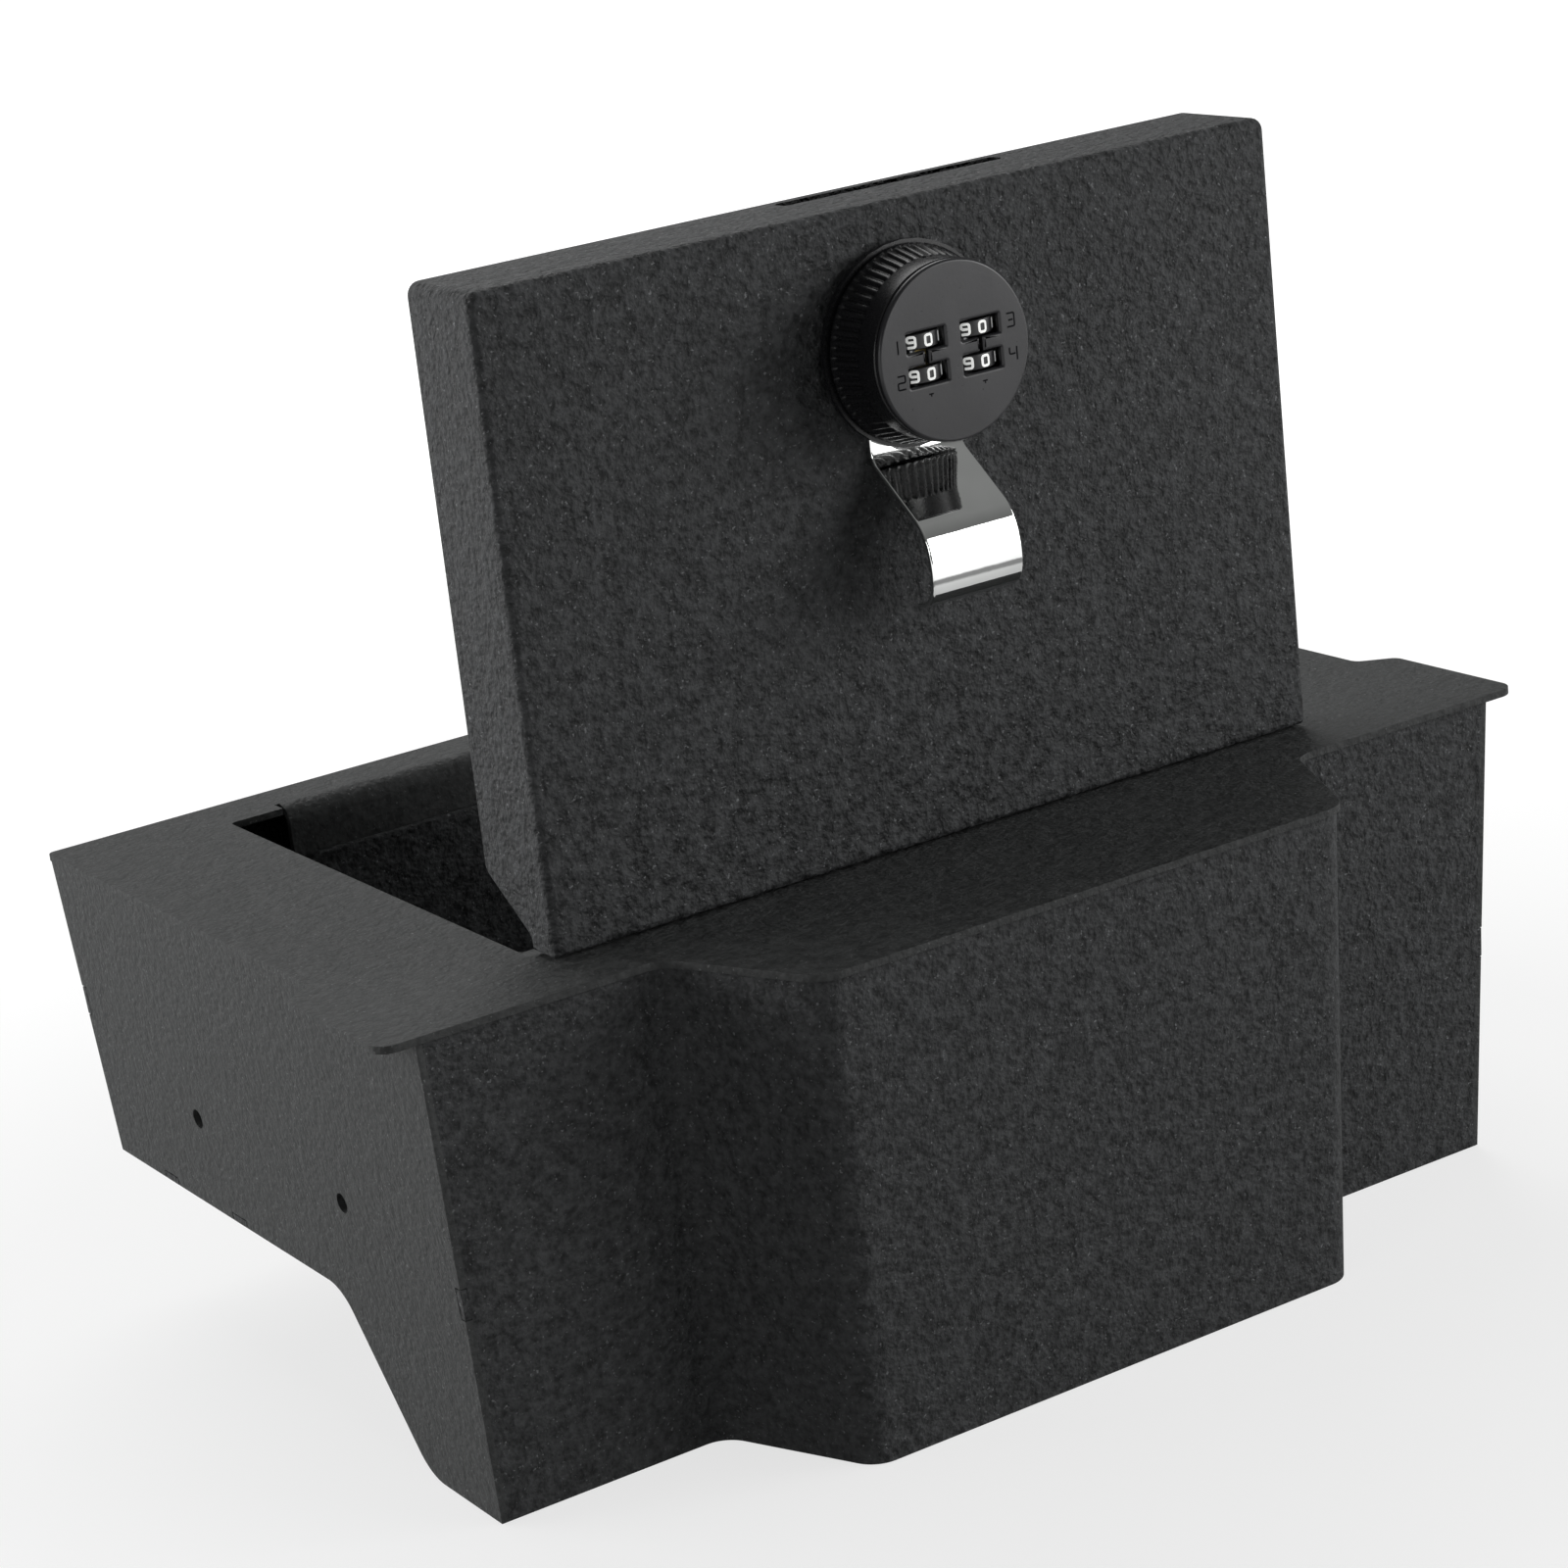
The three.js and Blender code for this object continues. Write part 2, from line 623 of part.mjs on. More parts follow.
function spindle() {
  const shaft = rodZ(0, 0, 3.9, 0.3 - cam.near, knob.back + 1.7, 8);
  const square = boxBetween([-2.9, -2.9, -25.4], [2.9, 2.9, -21.5]);
  const stud = rodZ(0, 0, 2.6, -31, -24, 6);
  return join(shaft, square, stud);
}

function hexagon(acrossFlats) {
  const corners = [];
  for (let i = 0; i < 6; i += 1) {
    const angle = (i / 6) * 2 * Math.PI;
    const reach = acrossFlats / Math.sqrt(3);
    corners.push([reach * Math.cos(angle), reach * Math.sin(angle)]);
  }
  return outline(corners);
}

function nut(acrossFlats, bore, low, high) {
  return cut(solidOf(slabZ(hexagon(acrossFlats), low, high)), rodZ(0, 0, bore, low - 1, high + 1, 8));
}

function washer(radius, bore, low, high) {
  return cut(rodZ(0, 0, radius, low, high, 10), rodZ(0, 0, bore, low - 1, high + 1, 8));
}

// A flat sector: it points along +X with the lock open and is carried up through the lid's slot.
function lockCam() {
  const from = THREE.MathUtils.degToRad(-40);
  const to = THREE.MathUtils.degToRad(22);
  const shape = new THREE.Shape();
  shape.absarc(0, 0, cam.radius, from, to);
  shape.absarc(0, 0, 9, to + 0.9, from - 0.9 + 2 * Math.PI);
  shape.closePath();
  const plate = solidOf(slabZ(shape, -cam.far, -cam.near, 14));
  return cut(plate, boxBetween([-3.1, -3.1, -30], [3.1, 3.1, -20]));
}

// --- Assembly -----------------------------------------------------------------------------------

const body = new THREE.Group();
body.add(
  meshOf("deck_plate", deckPlate(), coat),
  meshOf("left_end_wall", endWall(-1), coat),
  meshOf("right_end_wall", endWall(1), coat),
  meshOf("near_wall", nearWall(), darkCoat),
  meshOf("far_wall", farWall(), darkCoat),
  meshOf("floor_pan", floorPan(), darkCoat),
  meshOf("guard_plate", guardPlate(), darkCoat),
  meshOf("hinge_body_leaf", hingeBodyLeaf(), zinc),
  meshOf("hinge_pin", hingePin(), zinc),
);

const lidGroup = new THREE.Group();
lidGroup.add(meshOf("lid_pan", lidPan(), darkCoat), meshOf("hinge_lid_leaf", hingeLidLeaf(), zinc));

const lock = lockGroup(
  meshOf("lock_backing_plate", backingPlate(), zinc),
  meshOf("lock_base", lockBase(), satinBlack),
  meshOf("barrel_washer", washer(14, 9.8, -6.8, -5.6), zinc),
  meshOf("barrel_nut", nut(26, 9.7, -12.1, -7.1), brass),
  meshOf("pull_handle", pullHandle(), chrome),
  meshOf("knob_body", knobBody(), satinBlack),
  meshOf("knob_face", knobFace(), satinBlack),
  numberWheelMesh("number_wheel_1", -wheel.x, wheel.row),
  numberWheelMesh("number_wheel_2", -wheel.x, -wheel.row),
  numberWheelMesh("number_wheel_3", wheel.x, wheel.row),
  numberWheelMesh("number_wheel_4", wheel.x, -wheel.row),
  wheelAxleMesh("left_wheel_axle", -wheel.x),
  wheelAxleMesh("right_wheel_axle", wheel.x),
  meshOf("left_detent_spring", detentSpring(-wheel.x), zinc),
  meshOf("right_detent_spring", detentSpring(wheel.x), zinc),
  meshOf("lock_bolt", lockBolt(), brass),
  meshOf("bolt_spring", boltSpring(), zinc),
  meshOf("spindle", spindle(), brass),
  meshOf("lock_cam", lockCam(), zinc),
  meshOf("cam_washer", washer(6, 2.9, -26.6, -25.7), zinc),
  meshOf("cam_nut", nut(8, 2.8, -30.3, -26.9), zinc),
);

const safe = new THREE.Group();
safe.add(body, lidGroup, lock);
safe.position.y = -centreY;

export default safe;
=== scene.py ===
"""A vehicle console safe with its lid open, on a pale studio floor. Metres, +Z up."""
import json
import math

import bmesh
import bpy
from mathutils import Matrix, Vector


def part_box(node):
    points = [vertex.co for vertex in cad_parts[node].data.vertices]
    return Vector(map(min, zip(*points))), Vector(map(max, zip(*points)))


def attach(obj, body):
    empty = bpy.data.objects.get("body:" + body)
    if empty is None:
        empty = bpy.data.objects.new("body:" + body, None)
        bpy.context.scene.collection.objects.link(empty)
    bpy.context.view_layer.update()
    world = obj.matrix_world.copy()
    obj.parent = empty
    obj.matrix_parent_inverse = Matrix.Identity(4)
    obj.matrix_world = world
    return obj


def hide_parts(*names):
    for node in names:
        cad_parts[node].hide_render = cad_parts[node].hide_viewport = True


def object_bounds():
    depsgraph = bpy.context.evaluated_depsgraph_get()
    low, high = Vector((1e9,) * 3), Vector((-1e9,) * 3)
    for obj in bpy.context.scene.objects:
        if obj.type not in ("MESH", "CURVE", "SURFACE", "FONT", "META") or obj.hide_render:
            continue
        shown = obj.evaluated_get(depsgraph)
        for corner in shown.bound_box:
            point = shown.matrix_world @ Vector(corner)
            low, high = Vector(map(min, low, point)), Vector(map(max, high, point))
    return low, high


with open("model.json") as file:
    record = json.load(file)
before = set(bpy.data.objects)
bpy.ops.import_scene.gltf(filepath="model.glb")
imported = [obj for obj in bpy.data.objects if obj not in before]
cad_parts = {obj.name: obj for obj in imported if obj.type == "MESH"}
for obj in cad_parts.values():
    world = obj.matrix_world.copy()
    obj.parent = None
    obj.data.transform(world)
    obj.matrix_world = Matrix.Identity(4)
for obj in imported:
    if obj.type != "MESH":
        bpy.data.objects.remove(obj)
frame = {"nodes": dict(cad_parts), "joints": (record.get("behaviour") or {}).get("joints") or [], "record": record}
cad_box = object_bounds()
MM = 0.001
SHARP = math.radians(35)  # a fold sharper than this is an edge to round


# --- Places and sizes taken from the frame -------------------------------------------------------

def joint(name):
    return next(j for j in frame["joints"] if j["name"] == name)


end_low, end_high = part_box("right_end_wall")
lid_low, lid_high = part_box("lid_pan")
face_low, face_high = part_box("knob_face")
knob_low, knob_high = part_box("knob_body")

slot_of = {s["node"]: s["material_slot"] for s in frame["record"]["subparts"]}
body_of = {node: body for body, nodes in frame["record"]["behaviour"]["bodies"].items() for node in nodes}

sheet = 2 * MM
lock = Vector(joint("knob_turn")["pos_m"])  # on the knob's axis, at the lid's outer face
lock.y = lid_low.y
lock_turn = Matrix.Rotation(math.radians(90), 4, "X")
lock_frame = Matrix.Translation(lock) @ lock_turn  # X right, Y up the lid, Z out of the lid

knob_radius = face_high.x + 0.3 * MM
skirt_radius = knob_high.x
knob_back = lock.y - knob_high.y
knob_front = lock.y - knob_low.y
face_front = lock.y - face_low.y
rib_count = 60
rib_start = knob_back + 0.8 * MM
rib_end = knob_back + 9.6 * MM
barrel_hole = 9.8 * MM  # radius of the hole for the knob's barrel in the lid and the pull

wheel_radius = 7.5 * MM
wheel_level = 14.4 * MM  # of the wheels' axles, in front of the lid
wheel_column = 8 * MM
wheel_row = 4.15 * MM
wheel_places = {
    1: (-wheel_column, wheel_row),
    2: (-wheel_column, -wheel_row),
    3: (wheel_column, wheel_row),
    4: (wheel_column, -wheel_row),
}


# --- Mesh building -------------------------------------------------------------------------------

def shown(name, bm, body, node=None, material=None, smooth=True):
    """Turns bm into an object that rides on a body and stands for a CAD node."""
    bmesh.ops.recalc_face_normals(bm, faces=bm.faces)
    mesh = bpy.data.meshes.new(name)
    bm.to_mesh(mesh)
    bm.free()
    for polygon in mesh.polygons:
        polygon.use_smooth = smooth
    made = bpy.data.objects.new(name, mesh)
    bpy.context.collection.objects.link(made)
    if material:
        mesh.materials.append(material)
    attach(made, body)
    if node:
        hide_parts(node)
    return made


def flat_faces(made):
    """Shades rounded edges smoothly while broad faces stay flat to the eye."""
    for polygon in made.data.polygons:
        polygon.use_smooth = True
    weighted = made.modifiers.new("broad faces", "WEIGHTED_NORMAL")
    weighted.mode = "FACE_AREA_WITH_ANGLE"
    weighted.weight = 100
    weighted.keep_sharp = True
    return made


def round_edges(made, width, segments, limit):
    """Bevels an object's edges, by angle or by the weight that each edge has."""
    rounding = made.modifiers.new("edges", "BEVEL")
    rounding.width = width
    rounding.segments = segments
    rounding.limit_method = limit
    if limit == "ANGLE":
        rounding.angle_limit = SHARP


def round_outline(corners, steps=6):
    """Points round a closed outline of corners (a, b, radius)."""
    points = []
    count = len(corners)
    for i, (a, b, radius) in enumerate(corners):
        corner = Vector((a, b))
        before = (Vector(corners[i - 1][:2]) - corner).normalized()
        after = (Vector(corners[(i + 1) % count][:2]) - corner).normalized()
        half = before.angle(after) / 2
        reach = radius / math.tan(half)
        centre = corner + (before + after).normalized() * (radius / math.sin(half))
        start = corner + before * reach - centre
        turn = math.pi - 2 * half
        way = 1 if before.cross(after) < 0 else -1
        for k in range(steps + 1):
            angle = way * turn * k / steps
            spot = Matrix.Rotation(angle, 2) @ start
            points.append(centre + spot)
    return points


def round_box(a_low, a_high, b_low, b_high, radius, steps=6):
    return round_outline([(a_low, b_low, radius), (a_high, b_low, radius),
                          (a_high, b_high, radius), (a_low, b_high, radius)], steps)


def circle(a, b, radius, count):
    return [Vector((a + radius * math.cos(2 * math.pi * k / count),
                    b + radius * math.sin(2 * math.pi * k / count))) for k in range(count)]


def signed_area(loop):
    return sum(p.cross(loop[(i + 1) % len(loop)]) for i, p in enumerate(loop)) / 2


def inset(loop, distance):
    """The loop moved to its left by distance, with mitred corners."""
    moved = []
    count = len(loop)
    for i, point in enumerate(loop):
        into = (point - loop[i - 1]).normalized()
        out = (loop[(i + 1) % count] - point).normalized()
        left = Vector((-into.y, into.x)) + Vector((-out.y, out.x))
        left.normalize()
        spread = max(left.dot(Vector((-out.y, out.x))), 0.5)
        moved.append(point + left * (distance / spread))
    return moved


def prism(loops, low, high, edge, place, steps=3):
    """A plate between two levels with rounded edges: loops[0] is the outline, the rest are holes."""
    bm = bmesh.new()
    levels = [(low + edge * (1 - math.cos(math.pi / 2 * k / steps)),
               edge * (1 - math.sin(math.pi / 2 * k / steps))) for k in range(steps + 1)]
    levels += [(high + low - h, d) for h, d in reversed(levels)]
    caps = ([], [])
    for number, loop in enumerate(loops):
        turned = list(loop)
        if (signed_area(turned) > 0) != (number == 0):
            turned.reverse()
        rings = []
        for level, distance in levels:
            points = inset(turned, distance) if distance else turned
            rings.append([bm.verts.new(place(p.x, p.y, level)) for p in points])
        for lower, upper in zip(rings, rings[1:]):
            for i in range(len(turned)):
                j = (i + 1) % len(turned)
                bm.faces.new((lower[i], lower[j], upper[j], upper[i]))
        for cap, ring in zip(caps, (rings[0], rings[-1])):
            cap.extend(bm.edges.get((ring[i], ring[(i + 1) % len(ring)])) for i in range(len(ring)))
    for cap in caps:
        bmesh.ops.triangle_fill(bm, use_beauty=True, edges=cap)
    return bm


def lathe(profile, place, count=96, radius_at=None):
    """Turns profile points (radius, level) about the level axis. A point on it is one vertex."""
    bm = bmesh.new()
    rings = []
    for radius, level in profile:
        if radius < 1e-7:
            rings.append([bm.verts.new(place(0, 0, level))])
            continue
        ring = []
        for k in range(count):
            angle = 2 * math.pi * k / count
            r = radius_at(radius, level, angle) if radius_at else radius
            ring.append(bm.verts.new(place(r * math.cos(angle), r * math.sin(angle), level)))
        rings.append(ring)
    for lower, upper in zip(rings, rings[1:]):
        for k in range(count):
            j = (k + 1) % count
            a, b = lower[k % len(lower)], lower[j % len(lower)]
            c, d = upper[j % len(upper)], upper[k % len(upper)]
            bm.faces.new([v for i, v in enumerate((a, b, c, d)) if v not in (a, b, c, d)[:i]])
    return bm


def boolean(made, cutter_bm, operation):
    """Cuts or intersects an object's mesh with a solid, and keeps the result as its mesh."""
    bmesh.ops.recalc_face_normals(cutter_bm, faces=cutter_bm.faces)
    mesh = bpy.data.meshes.new("tool")
    cutter_bm.to_mesh(mesh)
    cutter_bm.free()
    tool = bpy.data.objects.new("tool", mesh)
    bpy.context.collection.objects.link(tool)
    step = made.modifiers.new("cut", "BOOLEAN")
    step.operation = operation
    step.solver = "EXACT"
    step.object = tool
    bpy.context.view_layer.update()
    solid = bpy.data.meshes.new_from_object(made.evaluated_get(bpy.context.evaluated_depsgraph_get()))
    made.modifiers.remove(step)
    old = made.data
    made.data = solid
    solid.name = old.name
    bpy.data.meshes.remove(old)
    bpy.data.objects.remove(tool)
    bpy.data.meshes.remove(mesh)
    return made


def cut(made, outline, low, high, place, operation="DIFFERENCE"):
    """Cuts a plain prism out of an object, or keeps only what lies in it."""
    return boolean(made, prism([outline], low, high, 0.01 * MM, place, 1), operation)


def along_z(x, y, level):
    return Vector((x, y, level))


def along_x(y, z, level):
    return Vector((level, y, z))


def along_y(x, z, level):
    return Vector((x, level, z))


def in_lock(x, y, level):
    return lock_frame @ Vector((x, y, level))


# --- Materials -----------------------------------------------------------------------------------

class Nodes:
    """A short way to write a material's node tree."""

    def __init__(self, name):
        self.material = bpy.data.materials.new(name)
        self.material.use_nodes = True
        self.tree = self.material.node_tree
        self.shader = self.tree.nodes["Principled BSDF"]
        self.place = self.tree.nodes.new("ShaderNodeTexCoord").outputs["Object"]

    def add(self, kind, **settings):
        made = self.tree.nodes.new(kind)
        for key, value in settings.items():
            if hasattr(made, key):
                setattr(made, key, value)
            else:
                made.inputs[key.replace("_", " ")].default_value = value
        return made

    def link(self, out, into):
        self.tree.links.new(out, into)

    def feed(self, value, socket):
        """Links a socket to another node's output, or sets it to a plain value."""
        if isinstance(value, bpy.types.NodeSocket):
            self.link(value, socket)
        else:
            socket.default_value = value

    def noise(self, scale, detail=3.0, roughness=0.55, stretch=None):
        made = self.add("ShaderNodeTexNoise", Scale=scale, Detail=detail, Roughness=roughness)
        place = self.place
        if stretch:
            mapped = self.add("ShaderNodeMapping")
            mapped.inputs["Scale"].default_value = stretch
            self.link(self.place, mapped.inputs["Vector"])
            place = mapped.outputs["Vector"]
        self.link(place, made.inputs["Vector"])
        return made.outputs["Fac"]

    def ramp(self, fac, stops):
        made = self.add("ShaderNodeValToRGB")
        elements = made.color_ramp.elements
        while len(elements) < len(stops):
            elements.new(0.5)
        for element, (place, colour) in zip(elements, stops):
            element.position = place
            element.color = (*colour, 1)
        self.link(fac, made.inputs["Fac"])
        return made.outputs["Color"]

    def mix(self, fac, a, b):
        made = self.add("ShaderNodeMix", data_type="RGBA")
        for value, socket in ((fac, made.inputs[0]), (a, made.inputs[6]), (b, made.inputs[7])):
            self.feed(value, socket)
        return made.outputs[2]

    def math(self, operation, a, b):
        made = self.add("ShaderNodeMath", operation=operation)
        for value, socket in ((a, made.inputs[0]), (b, made.inputs[1])):
            self.feed(value, socket)
        return made.outputs[0]

    def map_range(self, fac, side, low, high):
        made = self.add("ShaderNodeMapRange")
        made.inputs[side + " Min"].default_value = low
        made.inputs[side + " Max"].default_value = high
        self.link(fac, made.inputs["Value"])
        return made.outputs["Result"]

    def spread(self, fac, low, high):
        """Takes 0 to 1 to low to high."""
        return self.map_range(fac, "To", low, high)

    def spread_from(self, fac, low, high):
        """Takes low to high to 0 to 1."""
        return self.map_range(fac, "From", low, high)

    def bump(self, height, distance):
        made = self.add("ShaderNodeBump", Strength=1.0, Distance=distance)
        self.link(height, made.inputs["Height"])
        self.link(made.outputs["Normal"], self.shader.inputs["Normal"])

    def set(self, **values):
        for key, value in values.items():
            self.shader.inputs[key.replace("_", " ")].default_value = value


def textured_coat(name, dark, light, relief):
    """Wrinkled black powder coat: blotches a few mm across, finer threads and a few faint specks."""
    n = Nodes(name)
    blobs = n.spread_from(n.noise(285, 2.0, 0.6), 0.32, 0.68)
    threads = n.spread_from(n.noise(640, 2.0, 0.55), 0.34, 0.66)
    clouds = n.spread_from(n.noise(22, 3.0, 0.5), 0.3, 0.7)
    blotch = n.math("ADD", n.math("MULTIPLY", blobs, 0.6), n.math("MULTIPLY", threads, 0.4))
    shade = n.ramp(blotch, [(0.1, dark), (0.9, light)])
    middle = [(a + b) / 2 for a, b in zip(dark, light)]
    cloud_low, cloud_high = [c * 0.9 for c in middle], [c * 1.1 for c in middle]
    shade = n.mix(0.15, shade, n.ramp(clouds, [(0.0, cloud_low), (1.0, cloud_high)]))
    specks = n.ramp(n.noise(1100, 1.0, 0.5), [(0.68, (0, 0, 0)), (0.76, (0.8, 0.8, 0.8))])
    bright = [c * 2.4 for c in light]
    shade = n.mix(specks, shade, (*bright, 1))
    n.link(shade, n.shader.inputs["Base Color"])
    n.link(n.spread(blobs, 0.6, 0.8), n.shader.inputs["Roughness"])
    height = n.math("ADD", n.math("MULTIPLY", blobs, 0.5), n.math("MULTIPLY", threads, 0.3))
    n.bump(height, 0.00042 * relief)
    n.set(Specular_IOR_Level=0.22)
    return n.material


def satin_paint(name, colour, roughness, shine=0.5, glow=0.0):
    n = Nodes(name)
    grain = n.noise(900, 3.0)
    cloud = n.noise(60, 2.0)
    low = [c * 0.8 for c in colour]
    high = [c * 1.25 for c in colour]
    n.link(n.ramp(cloud, [(0.3, low), (0.7, high)]), n.shader.inputs["Base Color"])
    n.link(n.spread(grain, roughness - 0.06, roughness + 0.06), n.shader.inputs["Roughness"])
    n.bump(grain, 0.00002)
    n.set(Specular_IOR_Level=shine)
    # A glow is painted light: the paint gives off light of its own though it is no lamp.
    if glow:
        n.set(Emission_Color=(0.9, 0.92, 0.9, 1), Emission_Strength=glow)
    return n.material


def bare_metal(name, colour, roughness, stretch=(1, 1, 1), scale=700):
    n = Nodes(name)
    grain = n.noise(scale, 3.0, 0.6, stretch)
    cloud = n.noise(45, 2.0)
    low = [c * 0.82 for c in colour]
    n.link(n.ramp(cloud, [(0.3, low), (0.7, colour)]), n.shader.inputs["Base Color"])
    n.link(n.spread(grain, roughness * 0.75, roughness * 1.3), n.shader.inputs["Roughness"])
    n.bump(grain, 0.00002)
    n.set(Metallic=1.0)
    return n.material


# Two copies of one powder coat. The milder one is for the lit pieces. The second, for the coat_dark and lid_coat
# pieces that face into shade, has much darker and lighter blotches, which are painted shade and painted glints.
coat = textured_coat("textured_coat", (0.026, 0.027, 0.027), (0.062, 0.064, 0.064), 1.1)
shaded_faces_coat = textured_coat("shaded_faces_coat", (0.006, 0.0064, 0.0066), (0.070, 0.072, 0.074), 2.0)
knob_black = satin_paint("satin_black", (0.008, 0.008, 0.009), 0.28, shine=0.35)
# The face's copy of the knob's satin black is twice as light as the drum's, which is painted light for the light
# the face catches.
lit_face_black = satin_paint("satin_black_lit_face", (0.016, 0.016, 0.018), 0.3, shine=0.38)
wheel_black = satin_paint("wheel_black", (0.006, 0.006, 0.007), 0.4)
# Painted light: the digits' paint glows faintly so that they read white in the windows' shade.
digit_white = satin_paint("digit_white", (0.92, 0.92, 0.90), 0.5, glow=0.3)  # reads in the shade
label_black = satin_paint("label_black", (0.006, 0.006, 0.007), 0.85, shine=0.08)
chrome = bare_metal("chrome", (0.95, 0.96, 0.95), 0.035, scale=160)
zinc = bare_metal("zinc_plate", (0.52, 0.53, 0.54), 0.32, (1, 1, 12))
spring = bare_metal("spring_steel", (0.40, 0.41, 0.43), 0.3)
brass = bare_metal("brass", (0.62, 0.47, 0.20), 0.3)
by_slot = {
    "coat_light": coat,
    "coat_dark": shaded_faces_coat,
    "lid_coat": shaded_faces_coat,
    "zinc": zinc,
    "spring_steel": spring,
    "brass": brass,
    "chrome": chrome,
    "knob_black": knob_black,
    "wheel_black": wheel_black,
}


def finish_cad_nodes(names_and_edges):
    """Gives CAD pieces their material, and rounds the edges of the ones that are seen."""
    for name, node in frame["nodes"].items():
        node.data.materials.clear()
        node.data.materials.append(by_slot[slot_of[name]])
        if name in names_and_edges:
            round_edges(node, names_and_edges[name], 2, "ANGLE")


# --- Body sheets ---------------------------------------------------------------------------------

def coated_sheet(node, edge, stretch=None, keep_plain=None):
    """A finer copy of a sheet piece: rounded edges and smooth bends.

    stretch moves each point, and keep_plain says of an edge's middle whether it stays sharp.
    """
    source = frame["nodes"][node]
    bm = bmesh.new()
    bm.from_mesh(source.data)
    bm.transform(source.matrix_world)
    bmesh.ops.remove_doubles(bm, verts=bm.verts, dist=1e-6)
    bmesh.ops.dissolve_limit(bm, angle_limit=math.radians(0.5), verts=bm.verts, edges=bm.edges)
    if stretch:
        for vertex in bm.verts:
            vertex.co = stretch(vertex.co)
    weight = bm.edges.layers.float.new("bevel_weight_edge")
    for line in bm.edges:
        if len(line.link_faces) == 2 and line.calc_face_angle(0) > SHARP:
            middle = (line.verts[0].co + line.verts[1].co) / 2
            plain = keep_plain and keep_plain(middle)
            line[weight] = 0.0 if plain else 1.0
            line.smooth = not plain
    slot = slot_of[node]
    made = shown(node + "_coated", bm, body_of[node], node, by_slot[slot])
    round_edges(made, edge, 3, "WEIGHT")
    return flat_faces(made)


def draw_in(z):
    """The body's width at this height, as a share of its width at the deck."""
    low, high = end_low.z, end_high.z
    foot = max(v.co.x for v in frame["nodes"]["right_end_wall"].data.vertices if v.co.z < low + MM)
    return 1 - (1 - foot / end_high.x) * (high - z) / (high - low)


def to_end_wall(co):
    """Moves a wall's end face up to the end wall's inner face, which closes the welding gap."""
    inner = (end_high.x - sheet) * draw_in(co.z)
    if 0 < inner - abs(co.x) < 0.5 * MM:
        co.x = math.copysign(inner + 0.04 * MM, co.x)
    return co


def at_weld(co):
    """True along the lines where a sheet meets the end wall's inner face."""
    inner = (end_high.x - sheet) * draw_in(co.z)
    return abs(abs(co.x) - inner) < 0.3 * MM


# --- Lid -----------------------------------------------------------------------------------------

def lid_pan():
    """The pressed pan: its face towards -Y and its flanges going back to the rim."""
    bend, inner = 2.1 * MM, 0.8 * MM
    corner, foot_corner = 3.4 * MM, 1.4 * MM
    x = lid_high.x
    top, foot = lid_high.z, lid_low.z
    front, rim = lid_low.y, lid_high.y
    steps = 6

    def ring(bm, inset_by, depth):
        upper = max(corner - inset_by, 0.3 * MM)
        lower = max(foot_corner - inset_by, 0.3 * MM)
        loop = round_outline([(-x + inset_by, foot + inset_by, lower),
                              (x - inset_by, foot + inset_by, lower),
                              (x - inset_by, top - inset_by, upper),
                              (-x + inset_by, top - inset_by, upper)])
        return [bm.verts.new((p.x, depth, p.y)) for p in loop]

    bm = bmesh.new()
    rings = []
    for k in range(steps + 1):
        angle = math.pi / 2 * k / steps
        away = bend * (1 - math.sin(angle))
        rings.append(ring(bm, away, front + bend * (1 - math.cos(angle))))
    edge = 0.5 * MM
    for k in range(1, 5):
        angle = math.pi / 2 * k / 4
        away = edge * (1 - math.cos(angle))
        rings.append(ring(bm, away, rim - edge + edge * math.sin(angle)))
    for k in range(5):
        angle = math.pi / 2 * k / 4
        away = sheet - edge + edge * math.sin(angle)
        rings.append(ring(bm, away, rim - edge + edge * math.cos(angle)))
    for k in range(steps + 1):
        angle = math.pi / 2 * k / steps
        away = sheet + inner * (1 - math.cos(angle))
        depth = front + sheet + inner * (1 - math.sin(angle))
        rings.append(ring(bm, away, depth))
    for lower, upper in zip(rings, rings[1:]):
        for i in range(len(lower)):
            j = (i + 1) % len(lower)
            bm.faces.new((lower[i], lower[j], upper[j], upper[i]))
    bm.faces.new(rings[0])
    bm.faces.new(rings[-1])
    made = shown("lid_pan_pressed", bm, "lid", "lid_pan", shaded_faces_coat)

    # Seen from the side, the hinge flange ends well before the rim, and the end flanges slope up from it.
    clear, sharp = 5 * MM, 0.1 * MM
    hinge_flange = front + 10.3 * MM
    side = round_outline([(front - clear, foot - clear, sharp),
                          (hinge_flange, foot - clear, sharp),
                          (hinge_flange, foot + 4 * MM, 3 * MM),
                          (rim, foot + 17 * MM, 8 * MM),
                          (rim + clear, foot + 40 * MM, sharp),
                          (rim + clear, top + clear, sharp),
                          (front - clear, top + clear, sharp)])
    cut(made, side, -x - 10 * MM, x + 10 * MM, along_x, "INTERSECT")
    cam_slot = round_box(-16 * MM, 50.5 * MM, front + 21.2 * MM, front + 26.4 * MM, 1.5 * MM)
    cut(made, cam_slot, top - 6 * MM, top + clear, along_z)
    cut(made, circle(lock.x, lock.z, barrel_hole, 64), front - clear, front + 6 * MM, along_y)
    return flat_faces(made)


# --- Lock ----------------------------------------------------------------------------------------

